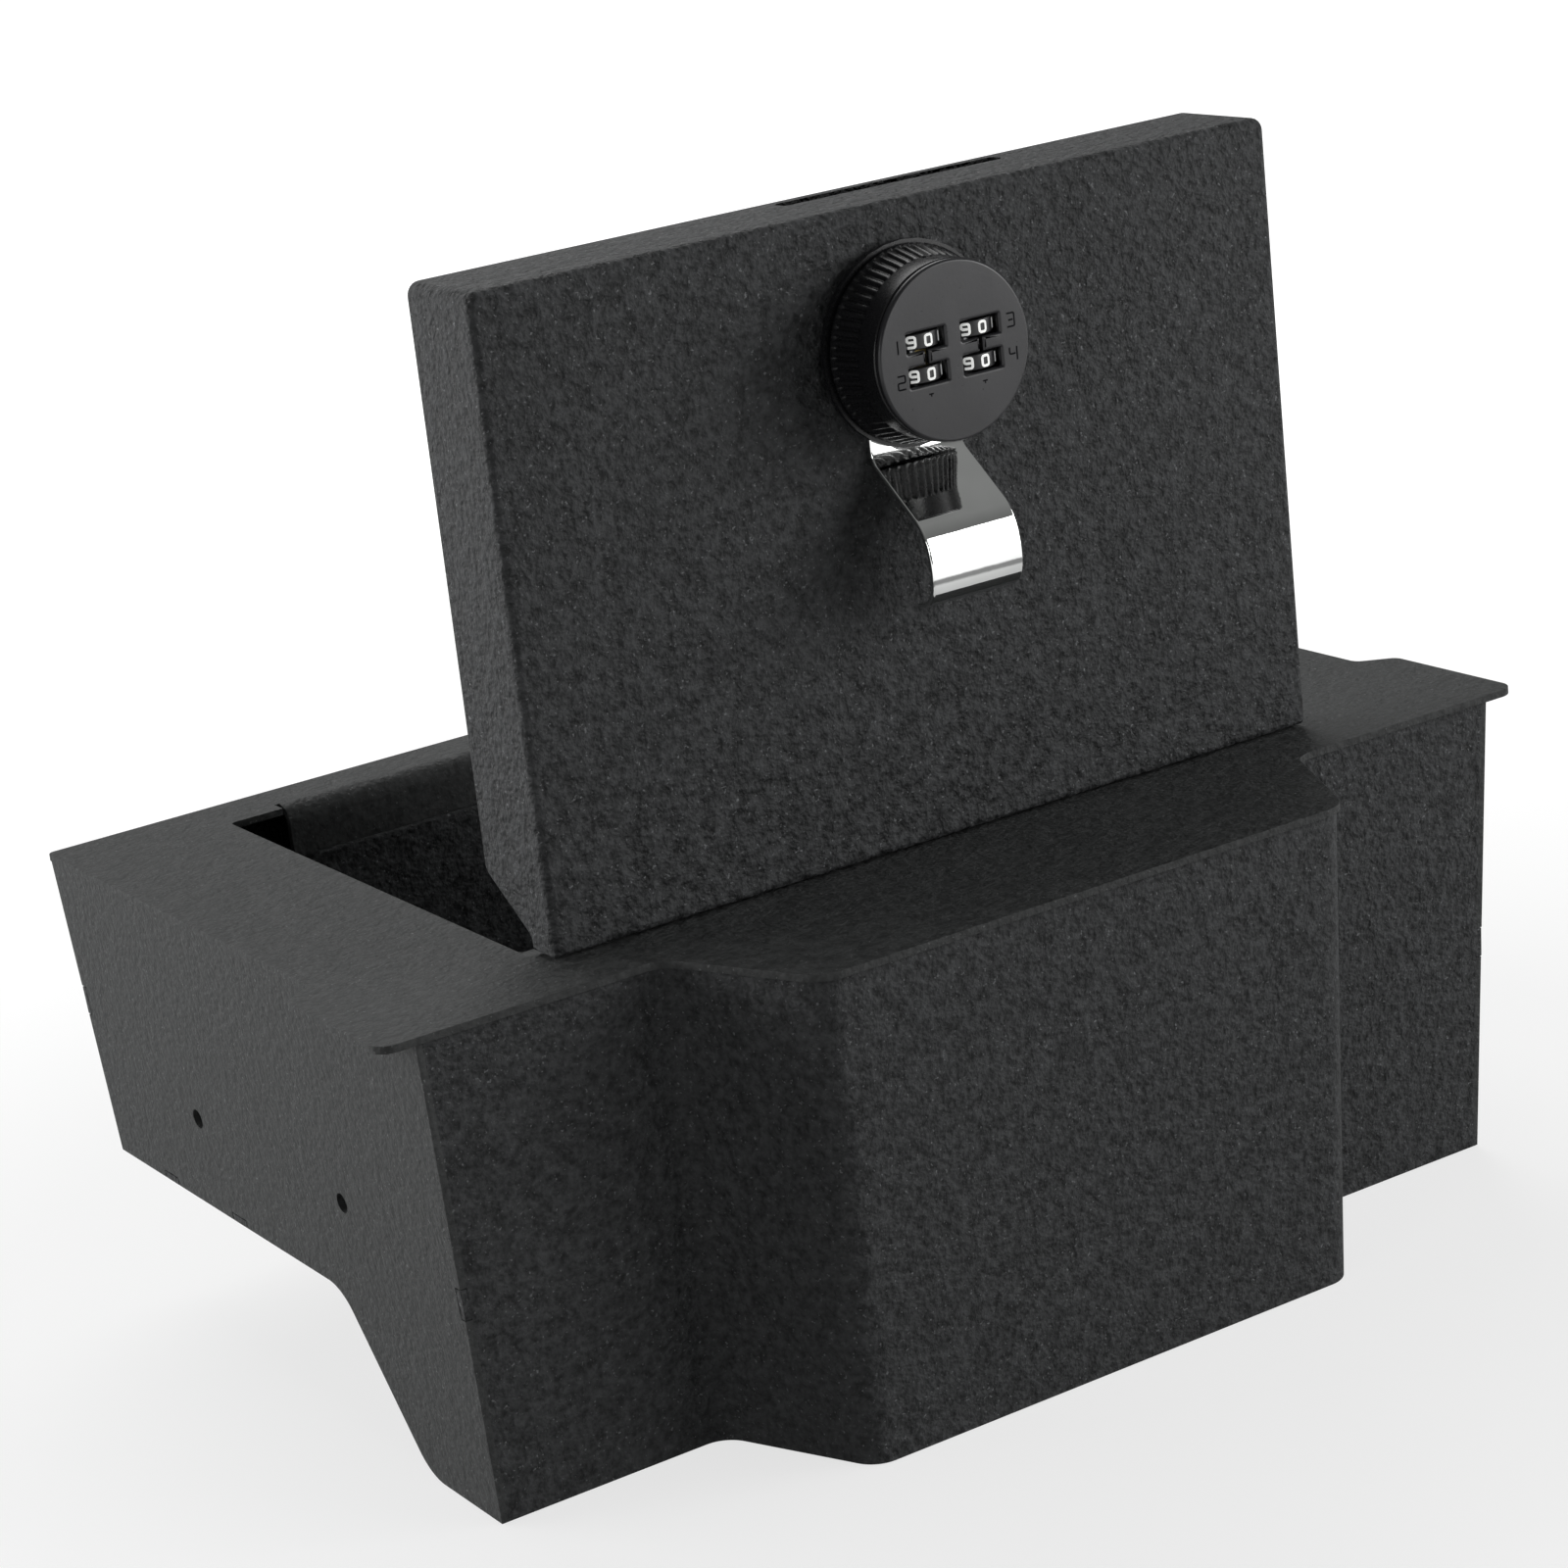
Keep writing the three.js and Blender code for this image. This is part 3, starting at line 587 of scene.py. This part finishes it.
def knob_body():
    """The turned drum: a ribbed, flared skirt behind and a smooth band in front."""
    r, b, f, wide = knob_radius, knob_back, knob_front, skirt_radius
    rib_depth, rib_fade = 0.8 * MM, 0.6 * MM

    def rib(radius, level, angle):
        inside = min(level - rib_start, rib_end - level) / rib_fade
        depth = rib_depth * max(0.0, min(1.0, inside))
        wave = 0.5 - 0.5 * math.cos(angle * rib_count)
        return radius - depth * max(0.0, wave - 0.35) / 0.65 if radius > 0.9 * r else radius

    profile = [(0, b), (wide - 1.2 * MM, b), (wide - 0.4 * MM, b + 0.25 * MM), (wide, rib_start)]
    profile += [(wide + (r - wide) * k / 12, rib_start + (rib_end - rib_start) * k / 12)
                for k in range(1, 13)]
    profile += [(r, rib_end + 0.2 * MM), (r, f - 0.5 * MM), (r - 0.12 * MM, f - 0.1 * MM),
                (r - 0.5 * MM, f), (0, f)]
    made = shown("knob_drum", lathe(profile, in_lock, rib_count * 8, rib), "knob",
                 "knob_body", knob_black)
    open_front = f + 2 * MM
    wheel_pocket = round_box(-17 * MM, 17 * MM, -9.9 * MM, 9.9 * MM, MM)
    cut(made, wheel_pocket, b + 1.9 * MM, open_front, in_lock)
    seat_half_width, seat_half_height, seat_floor = 1.6 * MM, 14.2 * MM, 12.8 * MM
    for x in (-wheel_column, wheel_column):
        axle_seat = round_box(x - seat_half_width, x + seat_half_width,
                              -seat_half_height, seat_half_height, 0.4 * MM)
        cut(made, axle_seat, seat_floor, open_front, in_lock)
    bolt_bore = circle(0, 14.6 * MM, 2.1 * MM, 32)
    cut(made, bolt_bore, b - MM, 15 * MM, in_lock)
    spindle_bore = circle(0, 0, 4.1 * MM, 40)
    cut(made, spindle_bore, b - MM, b + 3 * MM, in_lock)
    notch = round_box(-1.4 * MM, 1.4 * MM, r - 1.4 * MM, r + 4 * MM, 0.4 * MM)
    cut(made, notch, rib_end - 0.5 * MM, rib_end + 1.3 * MM, in_lock)
    return flat_faces(made)


def knob_face():
    """The front disc, with four windows joined in pairs by index slits."""
    half_w, half_h, slit = 5.6 * MM, 2.35 * MM, 0.45 * MM
    low, high = -wheel_row, wheel_row
    holes = []
    for x in (-wheel_column, wheel_column):
        holes.append([Vector(p) for p in (
            (x - half_w, low - half_h), (x + half_w, low - half_h), (x + half_w, low + half_h),
            (x + slit, low + half_h), (x + slit, high - half_h), (x + half_w, high - half_h),
            (x + half_w, high + half_h), (x - half_w, high + half_h), (x - half_w, high - half_h),
            (x - slit, high - half_h), (x - slit, low + half_h), (x - half_w, low + half_h))])
    rounded = [round_outline([(p.x, p.y, 0.25 * MM) for p in hole], 3) for hole in holes]
    disc = circle(0, 0, knob_radius - 0.1 * MM, 160)
    bm = prism([disc, *rounded], knob_front + 0.02 * MM, face_front, 0.8 * MM, in_lock, 5)
    return flat_faces(shown("knob_face_plate", bm, "knob", "knob_face", lit_face_black))


# Strokes of each digit on a grid two wide and two high, with its middle line at 1.
STROKES = {
    "0": ["closed 0,0 2,0 2,2 0,2"],
    "1": ["1,0 1,2"],
    "2": ["0,2 2,2 2,1 0,1 0,0 2,0"],
    "3": ["0,2 2,2 2,0 0,0", "0.4,1 1.62,1"],
    "4": ["0,2 0,1 1.62,1", "2,2 2,0"],
    "5": ["2,2 0,2 0,1 2,1 2,0 0,0"],
    "6": ["2,2 0,2 0,0 2,0 2,1 0.38,1"],
    "7": ["0,2 2,2 2,1.4 1,0"],
    "8": ["closed 0,0 2,0 2,2 0,2", "0.38,1 1.62,1"],
    "9": ["1.62,1 0,1 0,2 2,2 2,0 0,0"],
    "+": ["1,0 1,0.85", "0,1 2,1"],
}


def glyph(text, width, height, stroke):
    """A flat mesh of one character drawn in strokes, centred on the origin."""
    bm = bmesh.new()
    for line in STROKES[text]:
        closed = line.startswith("closed")
        marks = line.replace("closed ", "").split()
        points = [Vector([float(v) for v in mark.split(",")]) for mark in marks]
        spots = [Vector(((p.x - 1) * (width - stroke) / 2, (p.y - 1) * (height - stroke) / 2))
                 for p in points]
        if closed:
            loop = round_outline([(p.x, p.y, stroke * 0.9) for p in spots], 3)
            loops = [inset(loop, -stroke / 2), inset(loop, stroke / 2)]
        else:
            middle = soft_line(spots, stroke * 0.9)
            left, right = ribbon(middle, stroke / 2)
            loops = [left + right[::-1]]
        edges = []
        for loop in loops:
            ring = [bm.verts.new((p.x, p.y, 0)) for p in loop]
            edges += [bm.edges.new((ring[i - 1], ring[i])) for i in range(len(ring))]
        bmesh.ops.triangle_fill(bm, use_beauty=True, edges=edges)
    for face in bm.faces:
        if face.normal.z < 0:
            face.normal_flip()
    mesh = bpy.data.meshes.new("glyph")
    bm.to_mesh(mesh)
    bm.free()
    return mesh


def soft_line(points, radius, steps=3):
    """An open line with its inner corners rounded."""
    made = [points[0]]
    for before, corner, after in zip(points, points[1:], points[2:]):
        back, on = (before - corner).normalized(), (after - corner).normalized()
        reach = min(radius, (before - corner).length / 2, (after - corner).length / 2)
        start, end = corner + back * reach, corner + on * reach
        for k in range(steps + 1):
            t = k / steps
            made.append(start * (1 - t) ** 2 + corner * 2 * t * (1 - t) + end * t * t)
    return made + [points[-1]]


def ribbon(points, half):
    """The two sides of an open line, half to each side."""
    left, right = [], []
    for i, point in enumerate(points):
        along = points[min(i + 1, len(points) - 1)] - points[max(i - 1, 0)]
        across = Vector((-along.y, along.x)).normalized() * half
        left.append(point + across)
        right.append(point - across)
    return left, right


def add_raised(bm, mesh, place, thickness):
    """Adds a flat character as a thin closed solid, with place giving each point's spot."""
    flat = bmesh.new()
    flat.from_mesh(mesh)
    bmesh.ops.remove_doubles(flat, verts=flat.verts, dist=1e-6)
    if sum(f.normal.z for f in flat.faces) < 0:
        bmesh.ops.reverse_faces(flat, faces=flat.faces)
    raised = bmesh.ops.extrude_face_region(flat, geom=flat.faces[:])
    tops = [v for v in raised["geom"] if isinstance(v, bmesh.types.BMVert)]
    for v in tops:
        v.co.z += thickness
    index = {}
    for v in flat.verts:
        index[v] = bm.verts.new(place(v.co.x, v.co.y, v.co.z))
    for f in flat.faces:
        bm.faces.new([index[v] for v in f.verts])
    flat.free()


def wheel_place(number):
    x, y = wheel_places[number]

    def place(a, b, level):
        """(a, b) across the wheel and level along its axle, which points up the lid."""
        return in_lock(x + a, y + level, wheel_level - b)

    return place


def number_wheel(number, glyphs):
    """A wheel with ten shallow grooves and ten raised white digits round its rim."""
    place = wheel_place(number)
    half, bore = 1.95 * MM, 1.7 * MM
    digit_turn = math.radians(6.5)  # from facing straight out of the lid
    groove_turn = 0.319  # in steps from one digit to the next

    def grooves(radius, level, angle):
        if radius < 0.8 * wheel_radius:
            return radius
        part = (angle / (2 * math.pi) * 10 + groove_turn) % 1.0
        groove = math.exp(-(((part - 0.5) % 1.0 - 0.5) / 0.035) ** 2)
        return radius - 0.22 * MM * groove

    r = wheel_radius - 0.12 * MM
    edge = 0.3 * MM
    profile = [(bore, -half), (r - edge, -half), (r, -half + edge), (r, half - edge),
               (r - edge, half), (bore, half), (bore, -half)]
    bm = lathe(profile, place, 160, grooves)
    bmesh.ops.remove_doubles(bm, verts=bm.verts, dist=1e-7)
    name = "number_wheel_%d" % number
    made = shown(name + "_rim", bm, "wheel_%d" % number, name, wheel_black)
    flat_faces(made)
    x, y = wheel_places[number]
    bm = bmesh.new()
    for digit in range(10):
        facing = 2 * math.pi * digit / 10 + digit_turn

        def wrap(a, b, c):
            angle = facing + a / r
            reach = r - 0.04 * MM + c
            return in_lock(x + reach * math.sin(angle), y + b, wheel_level + reach * math.cos(angle))

        add_raised(bm, glyphs[digit], wrap, 0.1 * MM)
    return shown("wheel_%d_digits" % number, bm, "wheel_%d" % number,
                 None, digit_white, smooth=False)


def face_labels():
    """The small position numbers beside the windows and the marks below them."""
    bm = bmesh.new()
    labels = [
        ("1", (-16.4, 3.9), (2.6, 3.7, 0.42)),
        ("2", (-16.2, -4.6), (2.6, 3.7, 0.42)),
        ("3", (17.0, 4.2), (2.6, 3.7, 0.42)),
        ("4", (17.0, -4.1), (2.6, 3.7, 0.42)),
        ("+", (-8.0, -8.9), (1.7, 1.7, 0.34)),
        ("+", (8.0, -8.9), (1.7, 1.7, 0.34)),
    ]
    for text, (x, y), size in labels:

        def place(a, b, c, x=x, y=y):
            return in_lock(x * MM + a, y * MM + b, face_front + c - 0.02 * MM)

        add_raised(bm, glyph(text, *(v * MM for v in size)), place, 0.05 * MM)
    return shown("face_labels", bm, "knob", None, label_black, smooth=False)


# The pull's middle line in the lock's (up, out) plane, in mm: where it starts, and its bends' corners.
PULL_START = (12, 1)
PULL_BENDS = [
    [(-23.8, 1), (-27.3, 1), (-29.3, 3.8)],  # away from the lid
    [(-39.8, 17.5), (-42.8, 21.4), (-49.3, 23), (-55.3, 22.4)],  # over the shoulder
    [(-55.3, 22.4), (-60.8, 21.6), (-61.3, 15.5)],  # round to the lip
]


def pull_line():
    """The pull's middle line in metres, straight between its bends."""
    points = [Vector(PULL_START)]
    end = PULL_START
    for bend in PULL_BENDS:
        if bend[0] != end:
            points.append(Vector(bend[0]))
        end = bend[-1]
        count = len(bend) - 1
        for k in range(1, 17):
            t = k / 16
            spot = Vector((0, 0))
            for i, corner in enumerate(bend):
                weight = math.comb(count, i) * t**i * (1 - t) ** (count - i)
                spot += Vector(corner) * weight
            points.append(spot)
    return [p * MM for p in points]


def pull_handle():
    """Polished strip bent out from under the knob, with rounded long edges."""
    line = pull_line()
    half_width, half_thick = 13.5 * MM, 0.75 * MM
    section = round_box(-half_width, half_width, -half_thick, half_thick, 0.5 * MM, 4)
    bm = bmesh.new()
    rings = []
    for i, point in enumerate(line):
        along = line[min(i + 1, len(line) - 1)] - line[max(i - 1, 0)]
        along.normalize()
        across = Vector((-along.y, along.x))
        ring = []
        for p in section:
            spot = point + across * p.y
            ring.append(bm.verts.new(in_lock(p.x, spot.x, spot.y)))
        rings.append(ring)
    for lower, upper in zip(rings, rings[1:]):
        for i in range(len(section)):
            j = (i + 1) % len(section)
            bm.faces.new((lower[i], lower[j], upper[j], upper[i]))
    bm.faces.new(rings[0])
    bm.faces.new(rings[-1])
    made = shown("pull_strip", bm, "lid", "pull_handle", chrome)
    cut(made, circle(0, 0, barrel_hole, 64), -3 * MM, 6 * MM, in_lock)
    return flat_faces(made)


# --- Camera, light and floor ---------------------------------------------------------------------

CAMERA_PLACE = (-0.5484, -0.8749, 0.4492)
CAMERA_TURN = (-29.34, 17.9, -7.2)  # azimuth, elevation and roll in degrees
CAMERA_LENS = 92.5
CAMERA_SHIFT = (0.10, 0.0512)
WORLD_LOW, WORLD_HIGH = (0.06, 0.061, 0.06), (0.21, 0.213, 0.21)
FLOOR_LOW, FLOOR_HIGH = (0.20, 0.20, 0.20), (0.22, 0.22, 0.22)
FLOOR_RING = [(0.50, (0.55, 0.55, 0.55)), (0.56, (0.05, 0.05, 0.05)),
              (0.68, (0.05, 0.05, 0.05)), (0.74, (1, 1, 1))]  # glow by distance, in reflections
LIGHTS = [  # name, place, target, size and power
    ("left_back", (-1.5, 1.2, 0.3), (0, 0, 0.12), 1.5, 46),
    ("top_back", (0.35, 1.25, 1.5), (0, 0, 0.1), 1.5, 23),
    ("right_front", (1.3, -1.6, 0.6), (0, 0, 0.15), 1.2, 17),
    ("right_near", (0.95, -0.6, 0.5), (0.1, -0.07, 0.22), 0.5, 3.8),
    ("left_front", (-1.8, -0.75, 0.45), (0, 0, 0.12), 0.4, 4.5),
]


def add_camera():
    azimuth, elevation, roll = (math.radians(angle) for angle in CAMERA_TURN)
    back = Vector((math.sin(azimuth) * math.cos(elevation),
                   -math.cos(azimuth) * math.cos(elevation),
                   math.sin(elevation)))
    right = Vector((0, 0, 1)).cross(back).normalized()
    up = back.cross(right)
    right, up = (right * math.cos(roll) + up * math.sin(roll),
                 up * math.cos(roll) - right * math.sin(roll))
    data = bpy.data.cameras.new("camera")
    data.lens = CAMERA_LENS
    data.sensor_width = 36
    data.shift_x, data.shift_y = CAMERA_SHIFT
    data.clip_start, data.clip_end = 0.05, 50
    camera = bpy.data.objects.new("camera", data)
    bpy.context.collection.objects.link(camera)
    turn = Matrix((right, up, back)).transposed().to_4x4()
    camera.matrix_world = Matrix.Translation(CAMERA_PLACE) @ turn
    bpy.context.scene.camera = camera


def add_area(name, place, target, size, power):
    data = bpy.data.lights.new(name, "AREA")
    data.size = size
    data.energy = power
    made = bpy.data.objects.new(name, data)
    bpy.context.collection.objects.link(made)
    made.location = place
    made.rotation_mode = "QUATERNION"
    made.rotation_quaternion = (Vector(target) - Vector(place)).to_track_quat("-Z", "Y")


def add_world():
    """Plain white to the eye, and for its light a dim grey that is brighter overhead."""
    world = bpy.data.worlds.new("studio")
    bpy.context.scene.world = world
    world.use_nodes = True
    tree = world.node_tree
    out = tree.nodes["Background"]
    split = tree.nodes.new("ShaderNodeSeparateXYZ")
    tree.links.new(tree.nodes.new("ShaderNodeTexCoord").outputs["Generated"], split.inputs[0])
    ramp = tree.nodes.new("ShaderNodeValToRGB")
    ramp.color_ramp.elements[0].position = 0.1
    ramp.color_ramp.elements[0].color = (*WORLD_LOW, 1)
    ramp.color_ramp.elements[1].position = 0.75
    ramp.color_ramp.elements[1].color = (*WORLD_HIGH, 1)
    tree.links.new(split.outputs["Z"], ramp.inputs["Fac"])
    path = tree.nodes.new("ShaderNodeLightPath")
    mix = tree.nodes.new("ShaderNodeMix")
    mix.data_type = "RGBA"
    tree.links.new(path.outputs["Is Camera Ray"], mix.inputs[0])
    tree.links.new(ramp.outputs["Color"], mix.inputs[6])
    mix.inputs[7].default_value = (1, 1, 1, 1)
    tree.links.new(mix.outputs[2], out.inputs["Color"])


def add_floor():
    """A pale disc whose glow, for the camera and in reflections, fades it into the white backdrop."""
    bm = bmesh.new()
    bmesh.ops.create_circle(bm, cap_ends=True, segments=96, radius=9)
    mesh = bpy.data.meshes.new("floor")
    bm.to_mesh(mesh)
    bm.free()
    floor = bpy.data.objects.new("floor", mesh)
    bpy.context.collection.objects.link(floor)
    floor.location.z = cad_box[0].z - 0.0003
    n = Nodes("pale_floor")
    distance = n.add("ShaderNodeVectorMath", operation="LENGTH")
    n.link(n.place, distance.inputs[0])
    away = n.spread_from(distance.outputs["Value"], 0.25, 1.1)
    n.link(n.ramp(n.noise(3, 2.0), [(0.3, FLOOR_LOW), (0.7, FLOOR_HIGH)]), n.shader.inputs["Base Color"])
    n.set(Roughness=0.9, Specular_IOR_Level=0.1)
    n.shader.inputs["Emission Color"].default_value = (1, 1, 1, 1)
    rays = n.add("ShaderNodeLightPath").outputs
    ring = n.ramp(distance.outputs["Value"], FLOOR_RING)
    seen = n.math("MAXIMUM", rays["Is Camera Ray"], n.math("MULTIPLY", rays["Is Glossy Ray"], ring))
    glow = n.math("MULTIPLY", n.spread(away, 0.72, 1.1), seen)
    n.link(glow, n.shader.inputs["Emission Strength"])
    mesh.materials.append(n.material)


scene = bpy.context.scene
scene.view_settings.view_transform = "Standard"
scene.view_settings.look = "None"
add_camera()
add_world()
for light in LIGHTS:
    add_area(*light)
add_floor()

coated_sheet("deck_plate", 0.6 * MM)
for end_wall in ("left_end_wall", "right_end_wall"):
    coated_sheet(end_wall, 0.6 * MM, None, at_weld)
for long_wall in ("near_wall", "far_wall"):
    coated_sheet(long_wall, 0.6 * MM, to_end_wall, at_weld)
coated_sheet("floor_pan", 0.4 * MM)
coated_sheet("guard_plate", 0.7 * MM)
finish_cad_nodes({
    "hinge_body_leaf": 0.15 * MM,
    "hinge_lid_leaf": 0.15 * MM,
    "lock_backing_plate": 0.3 * MM,
    "lock_base": 0.3 * MM,
    "barrel_nut": 0.3 * MM,
    "lock_cam": 0.25 * MM,
    "cam_nut": 0.2 * MM,
})
lid_pan()
knob_body()
knob_face()
digits = [glyph(str(d), 2.6 * MM, 3.1 * MM, 0.62 * MM) for d in range(10)]
for wheel_number in wheel_places:
    number_wheel(wheel_number, digits)
face_labels()
pull_handle()
